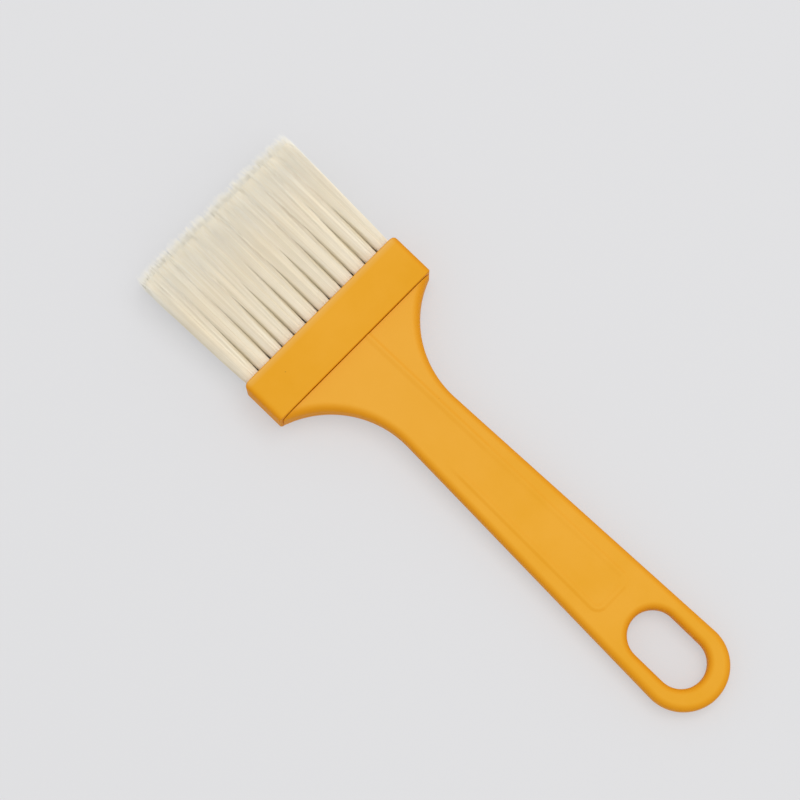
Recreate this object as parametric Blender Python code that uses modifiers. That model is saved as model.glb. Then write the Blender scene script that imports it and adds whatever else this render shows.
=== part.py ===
"""Pastry brush: a moulded handle, a tuft block, two rows of bristle tufts and their wire anchors.

Metres, +Z up. +X runs along the brush from the bristle tips to the hanging end, +Y runs across it.
The origin is under the middle of the brush, level with the underside of the tuft block.
"""

import math
import random

import bmesh
import bpy
from mathutils import Matrix, Vector

# Whole brush
TOTAL_LENGTH = 0.145
BRISTLE_LENGTH = 0.0325
FIT_GAP = 0.0003

# Tuft block
BLOCK_LENGTH = 0.0105
BLOCK_WIDTH = 0.0438
BLOCK_THICKNESS = 0.010
BLOCK_LONG_EDGE_RADIUS = 0.0018
BLOCK_FRONT_CORNER_RADIUS = 0.0015
BLOCK_SMALL_RADIUS = 0.0004
BLOCK_EDGE_SEGMENTS = 4

# Handle
SHOULDER_WIDTH = 0.0432
SHOULDER_THICKNESS = 0.0084
FLARE_RADIUS = 0.0217
FLARE_CENTRE_FROM_FRONT = 0.0312
GRIP_TAPER = math.radians(2.0)
GRIP_THICKNESS = 0.0052
GRIP_END_RADIUS = 0.0094
GRIP_EDGE_RADIUS = 0.0012
NECK_RAMP_LENGTH = 0.034
NECK_RAMP_CUTS = 9
TONGUE_LENGTH = 0.0024
TONGUE_ROOT = 0.0004
TONGUE_WIDTH = 0.0388
TONGUE_THICKNESS = 0.0064

# Hanging slot
SLOT_LENGTH = 0.0177
SLOT_WIDTH = 0.0103
SLOT_CENTRE_FROM_FRONT = 0.0985

# Raised panel on both faces of the handle
PANEL_HEIGHT = 0.0003
PANEL_FRONT_WIDTH = 0.0078
PANEL_REAR_WIDTH = 0.0100
PANEL_END_FROM_FRONT = 0.0838
PANEL_CORNER_RADIUS = 0.0012

# Tufts and anchors
TUFTS_ACROSS = 12
TUFT_PITCH = 0.00345
ROW_PITCH = 0.0044
HOLE_RADIUS = 0.00145
HOLE_DEPTH = 0.0064
HOLE_SIDES = 12
ROOT_RADIUS = 0.0012
ROOT_SINK = 0.0004
STRANDS_ACROSS = 5
STRANDS_THROUGH = 4
TIP_TAPER = 0.45
TIP_RAGGEDNESS = 0.0012
ANCHOR_LENGTH = 0.0033
ANCHOR_HEIGHT = 0.0015
ANCHOR_WIRE = 0.00035
FOLD_THICKNESS = 0.0007

# Places that follow from the sizes above
FRONT_X = BRISTLE_LENGTH - TOTAL_LENGTH / 2
SEAM_X = FRONT_X + BLOCK_LENGTH
BLOCK_REAR_X = SEAM_X - FIT_GAP / 2
SHOULDER_X = SEAM_X + FIT_GAP / 2
END_X = TOTAL_LENGTH / 2
MID_Z = BLOCK_THICKNESS / 2
ROWS = {"upper": MID_Z + ROW_PITCH / 2, "lower": MID_Z - ROW_PITCH / 2}

# How finely round stretches are drawn
FLARE_STEPS = 10
HALF_END_STEPS = 8
SLOT_STEPS = 10
CORNER_STEPS = 3
SHARP_ANGLE = math.radians(35.0)
OVERSHOOT = 0.003


def clear_scene():
    for obj in list(bpy.data.objects):
        bpy.data.objects.remove(obj, do_unlink=True)


def new_collection(name):
    collection = bpy.data.collections.new(name)
    bpy.context.scene.collection.children.link(collection)
    return collection


def new_material(name, colour, roughness, metallic=0.0):
    material = bpy.data.materials.new(name)
    material.use_nodes = True
    shader = material.node_tree.nodes["Principled BSDF"]
    shader.inputs["Base Color"].default_value = (*colour, 1.0)
    shader.inputs["Roughness"].default_value = roughness
    shader.inputs["Metallic"].default_value = metallic
    return material


def add_part(name, mesh, material):
    mesh.materials.clear()
    mesh.materials.append(material)
    obj = bpy.data.objects.new(name, mesh)
    parts.objects.link(obj)
    return obj


def shade_round(mesh):
    mesh.shade_smooth()
    mesh.set_sharp_from_angle(angle=SHARP_ANGLE)
    return mesh


def add_cutter(name, mesh):
    obj = bpy.data.objects.new(name, mesh)
    obj.hide_render = True
    obj.display_type = "WIRE"
    cutters.objects.link(obj)
    return obj


def boolean(obj, cutter, operation):
    modifier = obj.modifiers.new(f"{operation.lower()} {cutter.name}", "BOOLEAN")
    modifier.operation = operation
    modifier.object = cutter
    modifier.solver = "EXACT"


def box_mesh(name, low, high):
    low, high = Vector(low), Vector(high)
    bm = bmesh.new()
    bmesh.ops.create_cube(bm, size=1.0)
    bmesh.ops.scale(bm, vec=high - low, verts=bm.verts)
    bmesh.ops.translate(bm, vec=(low + high) / 2, verts=bm.verts)
    return finish_mesh(name, bm)


def finish_mesh(name, bm):
    bmesh.ops.recalc_face_normals(bm, faces=bm.faces)
    mesh = bpy.data.meshes.new(name)
    bm.to_mesh(mesh)
    bm.free()
    return mesh


def arc(centre, radius, start, end, steps):
    """Points from angle start to angle end, both included, in radians."""
    points = []
    for i in range(steps + 1):
        angle = start + (end - start) * i / steps
        points.append((centre[0] + radius * math.cos(angle), centre[1] + radius * math.sin(angle)))
    return points


def mirrored(points):
    """A half outline at +Y, followed by its mirror image back to the start."""
    return points + [(x, -y) for x, y in reversed(points)]


def plate_bmesh(name, outlines, half_thickness, edge_radius=0.0, edge_resolution=1):
    """Closed 2D outlines, filled and extruded about z = 0, with rounded edges, as a welded bmesh."""
    curve = bpy.data.curves.new(name, "CURVE")
    curve.dimensions = "2D"
    curve.fill_mode = "BOTH"
    curve.extrude = half_thickness - edge_radius
    curve.bevel_depth = edge_radius
    curve.bevel_resolution = edge_resolution
    curve.offset = -edge_radius
    for outline in outlines:
        spline = curve.splines.new("POLY")
        spline.points.add(len(outline) - 1)
        spline.use_cyclic_u = True
        for point, (x, y) in zip(spline.points, outline):
            point.co = (x, y, 0.0, 1.0)
    obj = bpy.data.objects.new(name, curve)
    bpy.context.scene.collection.objects.link(obj)
    graph = bpy.context.evaluated_depsgraph_get()
    mesh = bpy.data.meshes.new_from_object(obj.evaluated_get(graph))
    bm = bmesh.new()
    bm.from_mesh(mesh)
    bmesh.ops.remove_doubles(bm, verts=bm.verts, dist=1e-6)
    bpy.data.objects.remove(obj, do_unlink=True)
    bpy.data.curves.remove(curve)
    bpy.data.meshes.remove(mesh)
    return bm


def handle_outline():
    """Flare, straight taper and round end, each tangent to the next, with a lead-in before the shoulder."""
    sin_taper, cos_taper = math.sin(GRIP_TAPER), math.cos(GRIP_TAPER)
    end_centre = (END_X - GRIP_END_RADIUS, 0.0)
    flare_x = FRONT_X + FLARE_CENTRE_FROM_FRONT
    edge_y = (GRIP_END_RADIUS - (end_centre[0] - flare_x) * sin_taper) / cos_taper
    flare_centre = (flare_x, edge_y + FLARE_RADIUS / cos_taper)
    land_angle = math.asin((SHOULDER_WIDTH / 2 - flare_centre[1]) / FLARE_RADIUS)
    flare = arc(flare_centre, FLARE_RADIUS, -math.pi - land_angle, GRIP_TAPER - math.pi / 2, FLARE_STEPS)
    end = arc(end_centre, GRIP_END_RADIUS, math.pi / 2 + GRIP_TAPER, 0.0, HALF_END_STEPS)
    shoulder_x, shoulder_y = flare[0]
    steepness = (flare_centre[0] - shoulder_x) / (flare_centre[1] - shoulder_y)
    lead_in = (shoulder_x - OVERSHOOT, shoulder_y + OVERSHOOT * steepness)
    half = [lead_in] + flare + end[:-1]
    return half + [(END_X, 0.0)] + [(x, -y) for x, y in reversed(half)]


def slot_outline():
    """A slot with straight sides and half-round ends."""
    radius = SLOT_WIDTH / 2
    centre_x = FRONT_X + SLOT_CENTRE_FROM_FRONT
    reach = SLOT_LENGTH / 2 - radius
    rear = arc((centre_x + reach, 0.0), radius, math.pi / 2, -math.pi / 2, SLOT_STEPS)
    front = arc((centre_x - reach, 0.0), radius, -math.pi / 2, -3 * math.pi / 2, SLOT_STEPS)
    return rear + front


def panel_outline():
    """The raised panel, wider towards the slot, with rounded far corners."""
    front_x = SHOULDER_X - OVERSHOOT / 2
    rear_x = FRONT_X + PANEL_END_FROM_FRONT
    corner = (rear_x - PANEL_CORNER_RADIUS, PANEL_REAR_WIDTH / 2 - PANEL_CORNER_RADIUS)
    round_corner = arc(corner, PANEL_CORNER_RADIUS, math.pi / 2, 0.0, CORNER_STEPS)
    return mirrored([(front_x, PANEL_FRONT_WIDTH / 2)] + round_corner)


def thickness_ratio(x):
    """How much thicker the neck is than the grip: full at the shoulder, easing to 1 along the ramp."""
    left = max(0.0, 1.0 - max(0.0, x - SHOULDER_X) / NECK_RAMP_LENGTH)
    return 1.0 + (SHOULDER_THICKNESS / GRIP_THICKNESS - 1.0) * left * left


def cut_across(bm, x):
    geometry = list(bm.verts) + list(bm.edges) + list(bm.faces)
    bmesh.ops.bisect_plane(bm, geom=geometry, dist=1e-7, plane_co=(x, 0.0, 0.0), plane_no=(1.0, 0.0, 0.0))


def swell_neck(bm):
    """Thickens a flat plate towards the shoulder and lifts it to the middle of the block."""
    for i in range(NECK_RAMP_CUTS + 1):
        cut_across(bm, SHOULDER_X + NECK_RAMP_LENGTH * i / NECK_RAMP_CUTS)
    for vertex in bm.verts:
        vertex.co.z = MID_Z + vertex.co.z * thickness_ratio(vertex.co.x)


def make_handle(material):
    body = plate_bmesh(
        "handle outline", [handle_outline(), slot_outline()], GRIP_THICKNESS / 2, GRIP_EDGE_RADIUS
    )
    swell_neck(body)
    handle = add_part("handle", shade_round(finish_mesh("handle", body)), material)

    panel = plate_bmesh("panel outline", [panel_outline()], GRIP_THICKNESS / 2 + PANEL_HEIGHT)
    swell_neck(panel)
    boolean(handle, add_cutter("panel", finish_mesh("panel", panel)), "UNION")

    in_front = box_mesh(
        "in front of shoulder",
        (SHOULDER_X - 2 * OVERSHOOT, -BLOCK_WIDTH, -OVERSHOOT),
        (SHOULDER_X, BLOCK_WIDTH, BLOCK_THICKNESS + OVERSHOOT),
    )
    boolean(handle, add_cutter("in_front_of_shoulder", in_front), "DIFFERENCE")

    tongue = box_mesh(
        "tongue",
        (SHOULDER_X - TONGUE_LENGTH, -TONGUE_WIDTH / 2, MID_Z - TONGUE_THICKNESS / 2),
        (SHOULDER_X + TONGUE_ROOT, TONGUE_WIDTH / 2, MID_Z + TONGUE_THICKNESS / 2),
    )
    boolean(handle, add_cutter("tongue", tongue), "UNION")
    return handle


def round_block_edges(bm):
    """Long side edges get the largest radius, the upright front corners less, the rest a small one."""
    weights = bm.edges.layers.float.new("bevel_weight_edge")
    for edge in bm.edges:
        along = (edge.verts[1].co - edge.verts[0].co).normalized()
        at_front = (edge.verts[0].co.x + edge.verts[1].co.x) / 2 < (FRONT_X + BLOCK_REAR_X) / 2
        radius = BLOCK_SMALL_RADIUS
        if abs(along.x) > 0.5:
            radius = BLOCK_LONG_EDGE_RADIUS
        elif abs(along.z) > 0.5 and at_front:
            radius = BLOCK_FRONT_CORNER_RADIUS
        edge[weights] = radius / BLOCK_LONG_EDGE_RADIUS


def hole_outline(y, z):
    """A round tuft hole with the two grooves that the anchor's ends cut in its wall."""
    groove_half = ANCHOR_WIRE / 2 + FIT_GAP
    groove_reach = ANCHOR_LENGTH / 2 + FIT_GAP
    edge_angle = math.acos(groove_half / HOLE_RADIUS)
    right = arc((0.0, 0.0), HOLE_RADIUS, -edge_angle, edge_angle, HOLE_SIDES // 2)
    left = [(-across, -up) for across, up in right]
    outline = right + [(groove_half, groove_reach), (-groove_half, groove_reach)]
    outline += left + [(-groove_half, -groove_reach), (groove_half, -groove_reach)]
    return [(y + across, z + up) for across, up in outline]


def tuft_places():
    """(row name, number, y, z) of each tuft, row by row."""
    for row, z in ROWS.items():
        for i in range(TUFTS_ACROSS):
            yield row, i + 1, (i - (TUFTS_ACROSS - 1) / 2) * TUFT_PITCH, z


def make_tuft_block(material):
    bm = bmesh.new()
    bmesh.ops.create_cube(bm, size=1.0)
    size = (BLOCK_REAR_X - FRONT_X, BLOCK_WIDTH, BLOCK_THICKNESS)
    bmesh.ops.scale(bm, vec=size, verts=bm.verts)
    bmesh.ops.translate(bm, vec=((FRONT_X + BLOCK_REAR_X) / 2, 0.0, MID_Z), verts=bm.verts)
    round_block_edges(bm)
    block = add_part("tuft_block", finish_mesh("tuft_block", bm), material)
    bevel = block.modifiers.new("rounded edges", "BEVEL")
    bevel.limit_method = "WEIGHT"
    bevel.width = BLOCK_LONG_EDGE_RADIUS
    bevel.segments = BLOCK_EDGE_SEGMENTS

    socket_low = (
        SHOULDER_X - TONGUE_LENGTH - FIT_GAP,
        -TONGUE_WIDTH / 2 - FIT_GAP,
        MID_Z - TONGUE_THICKNESS / 2 - FIT_GAP,
    )
    socket_high = (
        BLOCK_REAR_X + OVERSHOOT,
        TONGUE_WIDTH / 2 + FIT_GAP,
        MID_Z + TONGUE_THICKNESS / 2 + FIT_GAP,
    )
    boolean(block, add_cutter("socket", box_mesh("socket", socket_low, socket_high)), "DIFFERENCE")

    outlines = [hole_outline(y, z) for _, _, y, z in tuft_places()]
    holes = plate_bmesh("tuft holes", outlines, HOLE_DEPTH)
    facing_front = Matrix(((0, 0, 1, FRONT_X), (1, 0, 0, 0), (0, 1, 0, 0), (0, 0, 0, 1)))
    bmesh.ops.transform(holes, matrix=facing_front, verts=holes.verts)
    boolean(block, add_cutter("tuft_holes", finish_mesh("tuft holes", holes)), "DIFFERENCE")
    return block


def anchor_depth():
    """How far behind the block's front face the middle of an anchor lies."""
    return HOLE_DEPTH - FIT_GAP - FOLD_THICKNESS - FIT_GAP - ANCHOR_HEIGHT / 2


def make_anchors(material):
    half = Vector((ANCHOR_HEIGHT, ANCHOR_WIRE, ANCHOR_LENGTH)) / 2
    mesh = box_mesh("anchor", -half, half)
    for row, number, y, z in tuft_places():
        anchor = add_part(f"anchor_{row}_{number:02d}", mesh, material)
        anchor.location = (FRONT_X + anchor_depth(), y, z)


def disc_from_square(u, v):
    """Maps a point of the square from -1 to 1 onto the unit disc."""
    return u * math.sqrt(1 - v * v / 2), v * math.sqrt(1 - u * u / 2)


def tuft_mesh(name, seed):
    """A round root that splits into strands along +Z; x is the brush's thickness and y its width.

    It is drawn on a square grid of strands. The root is then rounded to fit its hole, and the tips
    open out to fill the tuft's share of the pack, so no strand crosses another.
    """
    draw = random.Random(seed)
    bm = bmesh.new()
    bmesh.ops.create_grid(bm, x_segments=STRANDS_THROUGH, y_segments=STRANDS_ACROSS, size=1.0)
    root = bmesh.ops.extrude_face_region(bm, geom=list(bm.faces))
    top = [item for item in root["geom"] if isinstance(item, bmesh.types.BMFace)]
    mouth = {vertex for face in top for vertex in face.verts}
    bmesh.ops.holes_fill(bm, edges=[edge for edge in bm.edges if edge.is_boundary])
    for vertex in bm.verts:
        vertex.co.z = -ROOT_SINK if vertex in mouth else FIT_GAP - HOLE_DEPTH

    strands = bmesh.ops.extrude_discrete_faces(bm, faces=top)["faces"]
    tips = {vertex for face in strands for vertex in face.verts}
    for vertex in bm.verts:
        if vertex not in tips:
            x, y = disc_from_square(vertex.co.x, vertex.co.y)
            vertex.co.xy = (x * ROOT_RADIUS, y * ROOT_RADIUS)
    for i, face in enumerate(strands):
        centre = face.calc_center_median()
        length = BRISTLE_LENGTH - (draw.uniform(0.0, TIP_RAGGEDNESS) if i else 0.0)
        for vertex in face.verts:
            spot = centre.lerp(vertex.co, TIP_TAPER)
            vertex.co = (spot.x * ROW_PITCH / 2, spot.y * TUFT_PITCH / 2, length)
    return finish_mesh(name, bm)


def make_tufts(material):
    fold_clear = ANCHOR_HEIGHT / 2 + FIT_GAP
    wire_clear = ANCHOR_WIRE / 2 + FIT_GAP
    for seed, (row, number, y, z) in enumerate(tuft_places()):
        name = f"tuft_{row}_{number:02d}"
        tuft = add_part(name, tuft_mesh(name, seed), material)
        tuft.location = (FRONT_X, y, z)
        tuft.rotation_euler = (0.0, -math.pi / 2, 0.0)
        depth = FRONT_X + anchor_depth()
        fold = box_mesh(
            f"fold {row} {number}",
            (depth - fold_clear, y - wire_clear, z - HOLE_RADIUS),
            (depth + fold_clear, y + wire_clear, z + HOLE_RADIUS),
        )
        boolean(tuft, add_cutter(f"fold_{row}_{number:02d}", fold), "DIFFERENCE")


clear_scene()
parts = new_collection("pastry_brush")
cutters = new_collection("cutters")

make_handle(new_material("amber handle plastic", (0.84, 0.40, 0.045), 0.42))
make_tuft_block(new_material("amber block plastic", (0.82, 0.38, 0.030), 0.45))
make_anchors(new_material("anchor wire", (0.62, 0.61, 0.58), 0.35, metallic=1.0))
make_tufts(new_material("cream bristle", (0.80, 0.72, 0.56), 0.60))
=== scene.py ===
# %% [markdown]
# # A pastry brush in its finished state
# The brush is two amber mouldings, a handle and a tuft block, with two rows of twelve cream tufts. Each
# tuft is folded over a flat wire anchor and pressed into a hole of the block. The imported solids are the
# frame of this scene: every finished piece is made in the place of its solid, in metres, and takes its
# measures from it. That is why the first step is to load them and keep their box.

# %% Load the frame
import math
import random

import bmesh
import bpy
from mathutils import Matrix, Vector


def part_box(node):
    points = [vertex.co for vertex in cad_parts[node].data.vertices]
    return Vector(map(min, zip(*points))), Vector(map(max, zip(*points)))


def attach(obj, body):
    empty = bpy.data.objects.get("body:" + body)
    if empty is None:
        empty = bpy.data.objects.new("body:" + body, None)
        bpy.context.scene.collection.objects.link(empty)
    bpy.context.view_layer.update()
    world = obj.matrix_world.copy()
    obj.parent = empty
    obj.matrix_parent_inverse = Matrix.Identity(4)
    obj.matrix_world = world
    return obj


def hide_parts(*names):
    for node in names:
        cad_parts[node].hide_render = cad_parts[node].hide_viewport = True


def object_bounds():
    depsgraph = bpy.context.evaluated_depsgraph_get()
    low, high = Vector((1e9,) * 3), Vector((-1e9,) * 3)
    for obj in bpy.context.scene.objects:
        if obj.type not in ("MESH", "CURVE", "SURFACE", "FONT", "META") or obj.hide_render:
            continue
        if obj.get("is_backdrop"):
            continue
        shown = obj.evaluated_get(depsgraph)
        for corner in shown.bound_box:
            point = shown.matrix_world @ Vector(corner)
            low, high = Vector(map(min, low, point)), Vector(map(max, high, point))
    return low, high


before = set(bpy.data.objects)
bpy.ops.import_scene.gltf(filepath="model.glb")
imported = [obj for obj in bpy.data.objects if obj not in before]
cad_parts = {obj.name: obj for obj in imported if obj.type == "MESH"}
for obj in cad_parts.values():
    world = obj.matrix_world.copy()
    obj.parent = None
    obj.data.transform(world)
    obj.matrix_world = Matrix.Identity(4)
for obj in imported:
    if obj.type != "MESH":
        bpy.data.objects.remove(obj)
solids_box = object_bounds()

# %% [markdown]
# ## Places that come from the solids
# Sizes could be typed in again, but then a change in the solids would leave the finished pieces behind.
# Here the long measures are read from the boxes of the handle, the block, the tufts and the anchors, and
# only the sizes that a box can't tell, such as radii, are written out where a piece needs them.

# %% Measure the frame
FIT_GAP = 0.0003
SEAM_GAP = 0.00010
TUFTS_IN_ROW = 12
TUFT_NAMES = [f"{row}_{i + 1:02d}" for row in ("upper", "lower") for i in range(TUFTS_IN_ROW)]


def solid_box(name):
    low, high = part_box(name)
    return Vector(low), Vector(high)


handle_low, handle_high = solid_box("handle")
block_low, block_high = solid_box("tuft_block")
FRONT_X, END_X = block_low.x, handle_high.x
SEAM_X = block_high.x + FIT_GAP / 2
BLOCK_REAR_X = SEAM_X - SEAM_GAP / 2
SHOULDER_X = SEAM_X + SEAM_GAP / 2
MID_Z = (block_low.z + block_high.z) / 2
FOLD_X = solid_box("tuft_upper_01")[1].x
TIPS_X = min(solid_box(f"tuft_{name}")[0].x for name in TUFT_NAMES)
print(f"front {FRONT_X * 1000:.2f}, seam {BLOCK_REAR_X * 1000:.2f}, end {END_X * 1000:.2f} mm")

# %% Measure the tufts' places from their anchors
tuft_centres = {}
for name in TUFT_NAMES:
    anchor_low, anchor_high = solid_box(f"anchor_{name}")
    middle = (anchor_low + anchor_high) / 2
    tuft_centres[name] = (middle.y, middle.z)
ANCHOR_WIDTH = anchor_high.y - anchor_low.y
ANCHOR_HEIGHT = anchor_high.z - anchor_low.z
TUFT_PITCH = tuft_centres["upper_02"][0] - tuft_centres["upper_01"][0]
ROW_PITCH = tuft_centres["upper_01"][1] - tuft_centres["lower_01"][1]
print(f"tufts {TUFT_PITCH * 1000:.2f} mm apart in rows {ROW_PITCH * 1000:.2f} mm apart")

# %% [markdown]
# ## Amber plastic
# Both mouldings are a soft polypropylene with a satin skin: nearly one colour, with faint clouds where
# the melt flowed, a very fine grain from the mould, gentle sink waves over the thick parts, and here and
# there a faint speck. Light goes a little way into it, and rounded edges and walls lie in shade, so the
# colour is painted deeper there as painted shade. A painted sheen makes the neck paler, and a painted
# highlight the front edge of the block. A single colour would look like paint, so each of these is a
# small group of nodes on Object coordinates. The numbers are real sizes in metres: a noise scale is one
# over the width of what it draws.


# %% A short way to write nodes
def socket_of(node, key):
    """Finds an input by its identifier, or else by its name or number."""
    for candidate in node.inputs:
        if candidate.identifier == key:
            return candidate
    return node.inputs[key]


def add_node(tree, kind, inputs=None, **settings):
    """Adds a node; an input is either a value or another node's output socket."""
    node = tree.nodes.new(kind)
    for name, value in settings.items():
        setattr(node, name, value)
    for key, value in (inputs or {}).items():
        socket = socket_of(node, key)
        if isinstance(value, bpy.types.NodeSocket):
            tree.links.new(value, socket)
        else:
            socket.default_value = value
    return node


def calculate(tree, operation, *values):
    return add_node(tree, "ShaderNodeMath", dict(enumerate(values)), operation=operation).outputs[0]


def remap(tree, value, from_low, from_high, to_low, to_high):
    spans = {"From Min": from_low, "From Max": from_high, "To Min": to_low, "To Max": to_high}
    return add_node(tree, "ShaderNodeMapRange", {"Value": value, **spans}).outputs[0]


def split_vector(tree, vector):
    return add_node(tree, "ShaderNodeSeparateXYZ", {"Vector": vector}).outputs


def mix_colours(tree, share, first, second):
    inputs = {"Factor_Float": share, "A_Color": first, "B_Color": second}
    return add_node(tree, "ShaderNodeMix", inputs, data_type="RGBA").outputs[2]


def new_finish(name):
    """A material with only a Principled shader; returns the material, its tree and that shader."""
    material = bpy.data.materials.new(name)
    material.use_nodes = True
    return material, material.node_tree, material.node_tree.nodes["Principled BSDF"]


# %% [markdown]
# The deeper colour on the edges is painted shade. It could be painted by hand on each edge. Here it
# follows the slope of the surface, which is 0 on the broad level faces and 1 on upright walls, so every
# rounded edge gets it. A speck is the middle of a cell of a Voronoi pattern, and only one cell in ten is
# allowed to show it.

# %% Specks and slopes of the plastic
SPECK_SPACING = 0.0052
SPECK_RADIUS = 0.055
SPECK_SHARE = 0.10
SPECK_DEPTH = 0.3
SPECK_COLOUR = (0.16, 0.065, 0.012, 1.0)
# Slopes between which the painted shade on edges and walls rises from none to full.
LEVEL_SLOPE = 0.06
WALL_SLOPE = 0.80


def speck_mask(tree, place):
    """SPECK_DEPTH where one of the few specks lies, 0 elsewhere; their radius is a share of a cell."""
    cells = add_node(tree, "ShaderNodeTexVoronoi", {"Vector": place, "Scale": 1 / SPECK_SPACING})
    near = calculate(tree, "LESS_THAN", cells.outputs["Distance"], SPECK_RADIUS)
    draw = add_node(tree, "ShaderNodeSeparateColor", {"Color": cells.outputs["Color"]}).outputs[0]
    picked = calculate(tree, "LESS_THAN", draw, SPECK_SHARE)
    return calculate(tree, "MULTIPLY", calculate(tree, "MULTIPLY", near, picked), SPECK_DEPTH)


def painted_shade_share(tree):
    """Share of painted shade: 0 on the broad level faces of a piece, rising to 1 over its rounded edges and
    on its walls.
    """
    up = split_vector(tree, add_node(tree, "ShaderNodeTexCoord").outputs["Normal"])[2]
    squared_slope = calculate(tree, "SUBTRACT", 1.0, calculate(tree, "MULTIPLY", up, up))
    slope = calculate(tree, "SQRT", calculate(tree, "MAXIMUM", squared_slope, 0.0))
    return remap(tree, slope, LEVEL_SLOPE, WALL_SLOPE, 0.0, 1.0)


print(f"specks up to {SPECK_RADIUS * SPECK_SPACING * 2000:.2f} mm across, in 1 cell of {1 / SPECK_SHARE:.0f}")

# %% Mix the amber plastic
CLOUD_SIZE = 0.014
CLOUD_SPAN = (0.32, 0.68)
# Strength of the painted sheen or highlight where it is fullest.
SHEEN_SHARE = 0.5
GRAIN_SIZE, GRAIN_DEPTH = 0.00028, 0.0000030
GRAIN_SPAN = (0.3, 0.7)
SINK_WAVE_SIZE, SINK_WAVE_DEPTH = 0.0045, 0.000030
PLASTIC_IOR = 1.49
PLASTIC_SHINE = 0.10


def soft_noise(tree, place, size, detail):
    """A noise whose features are about as wide as size."""
    inputs = {"Vector": place, "Scale": 1 / size, "Detail": detail}
    return add_node(tree, "ShaderNodeTexNoise", inputs).outputs["Fac"]


def amber_colour(tree, place, light, dark, pale, pale_from, pale_to, deep):
    """Clouds of two close ambers, paler by a painted sheen towards the start of its span, deeper by painted
    shade on edges and walls, with specks.
    """
    clouds = remap(tree, soft_noise(tree, place, CLOUD_SIZE, 4.0), *CLOUD_SPAN, 0.0, 1.0)
    colour = mix_colours(tree, clouds, (*dark, 1.0), (*light, 1.0))
    # Painted sheen or highlight: paler towards the start of the span, fading out at its end.
    pale_share = remap(tree, split_vector(tree, place)[0], pale_from, pale_to, SHEEN_SHARE, 0.0)
    colour = mix_colours(tree, pale_share, colour, (*pale, 1.0))
    # Painted shade: the colour turns deeper over rounded edges and on walls.
    colour = mix_colours(tree, painted_shade_share(tree), colour, (*deep, 1.0))
    return mix_colours(tree, speck_mask(tree, place), colour, SPECK_COLOUR)


def amber_plastic(name, smoothest, roughest, **ambers):
    material, tree, shader = new_finish(name)
    place = add_node(tree, "ShaderNodeTexCoord").outputs["Object"]
    tree.links.new(amber_colour(tree, place, **ambers), shader.inputs["Base Color"])
    grain = soft_noise(tree, place, GRAIN_SIZE, 2.0)
    tree.links.new(remap(tree, grain, *GRAIN_SPAN, smoothest, roughest), shader.inputs["Roughness"])
    waves = soft_noise(tree, place, SINK_WAVE_SIZE, 1.0)
    sunk = add_node(tree, "ShaderNodeBump", {"Height": waves, "Distance": SINK_WAVE_DEPTH}).outputs[0]
    grained = {"Height": grain, "Distance": GRAIN_DEPTH, "Normal": sunk}
    tree.links.new(add_node(tree, "ShaderNodeBump", grained).outputs[0], shader.inputs["Normal"])
    shader.inputs["IOR"].default_value = PLASTIC_IOR
    shader.inputs["Specular IOR Level"].default_value = PLASTIC_SHINE
    print(f"{name}: {len(tree.nodes)} nodes")
    return material


# %% The plastics of the two mouldings
# The handle's paler neck is a painted sheen.
NECK_SHEEN_START, NECK_SHEEN_END = 0.012, 0.050
# The block's paler front edge is a painted highlight, this wide.
FRONT_HIGHLIGHT_WIDTH = 0.0016
handle_plastic = amber_plastic(
    "amber handle plastic", smoothest=0.48, roughest=0.60,
    light=(0.826, 0.394, 0.032), dark=(0.791, 0.365, 0.017), deep=(0.775, 0.305, 0.006),
    pale=(0.835, 0.410, 0.055), pale_from=SHOULDER_X + NECK_SHEEN_START, pale_to=SHOULDER_X + NECK_SHEEN_END,
)
block_plastic = amber_plastic(
    "amber block plastic", smoothest=0.50, roughest=0.62,
    light=(0.806, 0.376, 0.025), dark=(0.773, 0.348, 0.013), deep=(0.765, 0.295, 0.005),
    pale=(0.780, 0.490, 0.165), pale_from=FRONT_X, pale_to=FRONT_X + FRONT_HIGHLIGHT_WIDTH,
)

# %% [markdown]
# ## The handle
# The handle is one flat moulding: a flared neck, a waist, a grip that widens to a round end, a hanging
# slot, and a shallow raised panel on each face. It could be put together with Booleans, as the solid is,
# but that leaves hard panel edges. Here a flat curve draws the outline and its rounded edges, the two
# faces are filled round rings of loops that make a soft bead, and the neck is thickened last.

# %% Outline of the handle
SHOULDER_WIDTH = 0.0432
FLARE_RADIUS = 0.0217
FLARE_CENTRE_FROM_FRONT = 0.0312
GRIP_TAPER = math.radians(2.0)
GRIP_END_RADIUS = 0.0094
LEAD_IN = 0.006
ROUND_STEPS = 44


def arc(centre, radius, start, end, steps):
    """Points from angle start to angle end, both included."""
    angles = [start + (end - start) * i / steps for i in range(steps + 1)]
    return [(centre[0] + radius * math.cos(a), centre[1] + radius * math.sin(a)) for a in angles]


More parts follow.
